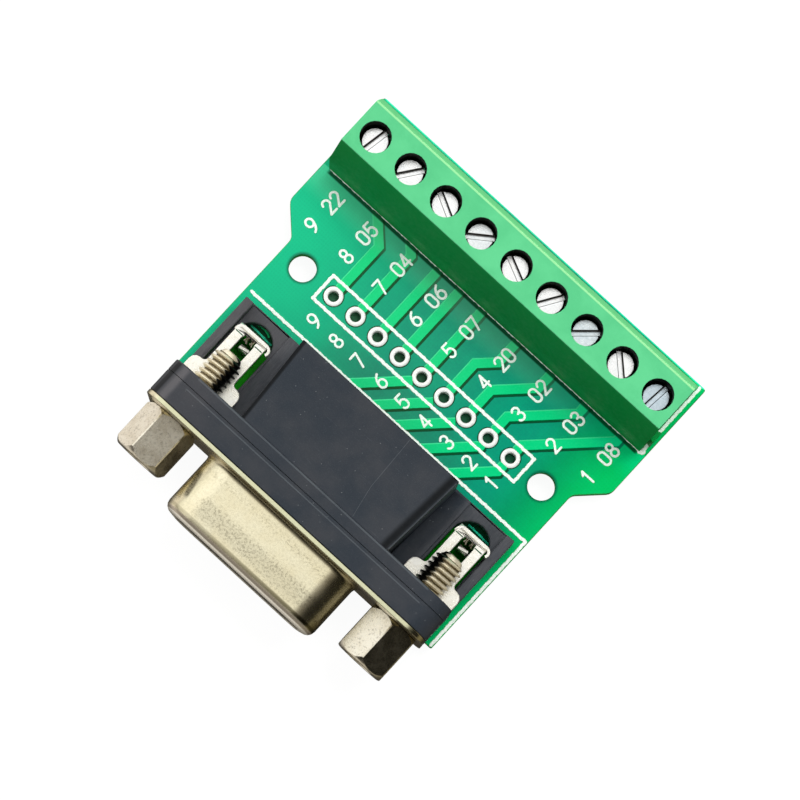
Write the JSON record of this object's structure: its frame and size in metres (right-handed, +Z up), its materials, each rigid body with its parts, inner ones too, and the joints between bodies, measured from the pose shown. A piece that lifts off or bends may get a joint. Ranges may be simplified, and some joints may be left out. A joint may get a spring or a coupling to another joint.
{
  "type": "d-sub terminal block adapter",
  "caption": "Green circuit board with a right-angle D-sub socket on its front edge and a row of screw terminals along its back edge.",
  "frame": {"origin": "middle of the footprint, at the height of the pin tails' tips, on which the board stands", "axes": "+X to the right seen with the D-sub socket nearest, +Y from the socket to the terminal block, +Z up out of the board's component side"},
  "size_m": [0.037, 0.0386, 0.0156],
  "materials": {
    "board": "green solder mask over glass-epoxy laminate, semi-gloss",
    "shell_nickel": "warm nickel plate on drawn steel, satin with fine speckle",
    "insulator_black": "glass-filled black plastic, satin, lightly scratched",
    "contact_gold": "flash-plated brass",
    "bracket_tin": "bright tin on folded steel sheet",
    "jackscrew_nickel": "nickel-plated steel, turned and hex drawn",
    "housing_green": "moulded green plastic, satin",
    "screw_zinc": "bright zinc plate",
    "clamp_tin": "tin plate"
  },
  "bodies": {
    "root": {"circuit_board": "board", "dsub_shell": "shell_nickel", "front_insulator": "insulator_black", "rear_insulator": "insulator_black", "socket_contact_1": "contact_gold", "socket_contact_2": "contact_gold", "socket_contact_3": "contact_gold", "socket_contact_4": "contact_gold", "socket_contact_5": "contact_gold", "socket_contact_6": "contact_gold", "socket_contact_7": "contact_gold", "socket_contact_8": "contact_gold", "socket_contact_9": "contact_gold", "boardlock_bracket_left": "bracket_tin", "jackscrew_left": "jackscrew_nickel", "boardlock_bracket_right": "bracket_tin", "jackscrew_right": "jackscrew_nickel", "terminal_housing": "housing_green", "terminal_pin_1": "clamp_tin", "terminal_pin_2": "clamp_tin", "terminal_pin_3": "clamp_tin", "terminal_pin_4": "clamp_tin", "terminal_pin_5": "clamp_tin", "terminal_pin_6": "clamp_tin", "terminal_pin_7": "clamp_tin", "terminal_pin_8": "clamp_tin", "terminal_pin_9": "clamp_tin"},
    "screw_1": {"terminal_screw_1": "screw_zinc"},
    "cage_1": {"clamp_cage_1": "clamp_tin"},
    "screw_2": {"terminal_screw_2": "screw_zinc"},
    "cage_2": {"clamp_cage_2": "clamp_tin"},
    "screw_3": {"terminal_screw_3": "screw_zinc"},
    "cage_3": {"clamp_cage_3": "clamp_tin"},
    "screw_4": {"terminal_screw_4": "screw_zinc"},
    "cage_4": {"clamp_cage_4": "clamp_tin"},
    "screw_5": {"terminal_screw_5": "screw_zinc"},
    "cage_5": {"clamp_cage_5": "clamp_tin"},
    "screw_6": {"terminal_screw_6": "screw_zinc"},
    "cage_6": {"clamp_cage_6": "clamp_tin"},
    "screw_7": {"terminal_screw_7": "screw_zinc"},
    "cage_7": {"clamp_cage_7": "clamp_tin"},
    "screw_8": {"terminal_screw_8": "screw_zinc"},
    "cage_8": {"clamp_cage_8": "clamp_tin"},
    "screw_9": {"terminal_screw_9": "screw_zinc"},
    "cage_9": {"clamp_cage_9": "clamp_tin"}
  },
  "joints": [
    {"name": "screw_1_turn", "type": "hinge", "parent": "root", "child": "screw_1", "pos_m": [0.01584, 0.01504, 0.01136], "axis": [0, 0, -1], "range_deg": [0, 1620]},
    {"name": "cage_1_lift", "type": "slide", "parent": "root", "child": "cage_1", "axis": [0, 0, 1], "range_m": [0, 0.0018]},
    {"name": "screw_2_turn", "type": "hinge", "parent": "root", "child": "screw_2", "pos_m": [0.01188, 0.01504, 0.01136], "axis": [0, 0, -1], "range_deg": [0, 1620]},
    {"name": "cage_2_lift", "type": "slide", "parent": "root", "child": "cage_2", "axis": [0, 0, 1], "range_m": [0, 0.0018]},
    {"name": "screw_3_turn", "type": "hinge", "parent": "root", "child": "screw_3", "pos_m": [0.00792, 0.01504, 0.01136], "axis": [0, 0, -1], "range_deg": [0, 1620]},
    {"name": "cage_3_lift", "type": "slide", "parent": "root", "child": "cage_3", "axis": [0, 0, 1], "range_m": [0, 0.0018]},
    {"name": "screw_4_turn", "type": "hinge", "parent": "root", "child": "screw_4", "pos_m": [0.00396, 0.01504, 0.01136], "axis": [0, 0, -1], "range_deg": [0, 1620]},
    {"name": "cage_4_lift", "type": "slide", "parent": "root", "child": "cage_4", "axis": [0, 0, 1], "range_m": [0, 0.0018]},
    {"name": "screw_5_turn", "type": "hinge", "parent": "root", "child": "screw_5", "pos_m": [0, 0.01504, 0.01136], "axis": [0, 0, -1], "range_deg": [0, 1620]},
    {"name": "cage_5_lift", "type": "slide", "parent": "root", "child": "cage_5", "axis": [0, 0, 1], "range_m": [0, 0.0018]},
    {"name": "screw_6_turn", "type": "hinge", "parent": "root", "child": "screw_6", "pos_m": [-0.00396, 0.01504, 0.01136], "axis": [0, 0, -1], "range_deg": [0, 1620]},
    {"name": "cage_6_lift", "type": "slide", "parent": "root", "child": "cage_6", "axis": [0, 0, 1], "range_m": [0, 0.0018]},
    {"name": "screw_7_turn", "type": "hinge", "parent": "root", "child": "screw_7", "pos_m": [-0.00792, 0.01504, 0.01136], "axis": [0, 0, -1], "range_deg": [0, 1620]},
    {"name": "cage_7_lift", "type": "slide", "parent": "root", "child": "cage_7", "axis": [0, 0, 1], "range_m": [0, 0.0018]},
    {"name": "screw_8_turn", "type": "hinge", "parent": "root", "child": "screw_8", "pos_m": [-0.01188, 0.01504, 0.01136], "axis": [0, 0, -1], "range_deg": [0, 1620]},
    {"name": "cage_8_lift", "type": "slide", "parent": "root", "child": "cage_8", "axis": [0, 0, 1], "range_m": [0, 0.0018]},
    {"name": "screw_9_turn", "type": "hinge", "parent": "root", "child": "screw_9", "pos_m": [-0.01584, 0.01504, 0.01136], "axis": [0, 0, -1], "range_deg": [0, 1620]},
    {"name": "cage_9_lift", "type": "slide", "parent": "root", "child": "cage_9", "axis": [0, 0, 1], "range_m": [0, 0.0018]}
  ],
  "couplings": [
    {"joint": "screw_1_turn", "follows": "cage_1_lift", "rad_per_m": 15707},
    {"joint": "screw_2_turn", "follows": "cage_2_lift", "rad_per_m": 15707},
    {"joint": "screw_3_turn", "follows": "cage_3_lift", "rad_per_m": 15707},
    {"joint": "screw_4_turn", "follows": "cage_4_lift", "rad_per_m": 15707},
    {"joint": "screw_5_turn", "follows": "cage_5_lift", "rad_per_m": 15707},
    {"joint": "screw_6_turn", "follows": "cage_6_lift", "rad_per_m": 15707},
    {"joint": "screw_7_turn", "follows": "cage_7_lift", "rad_per_m": 15707},
    {"joint": "screw_8_turn", "follows": "cage_8_lift", "rad_per_m": 15707},
    {"joint": "screw_9_turn", "follows": "cage_9_lift", "rad_per_m": 15707}
  ]
}
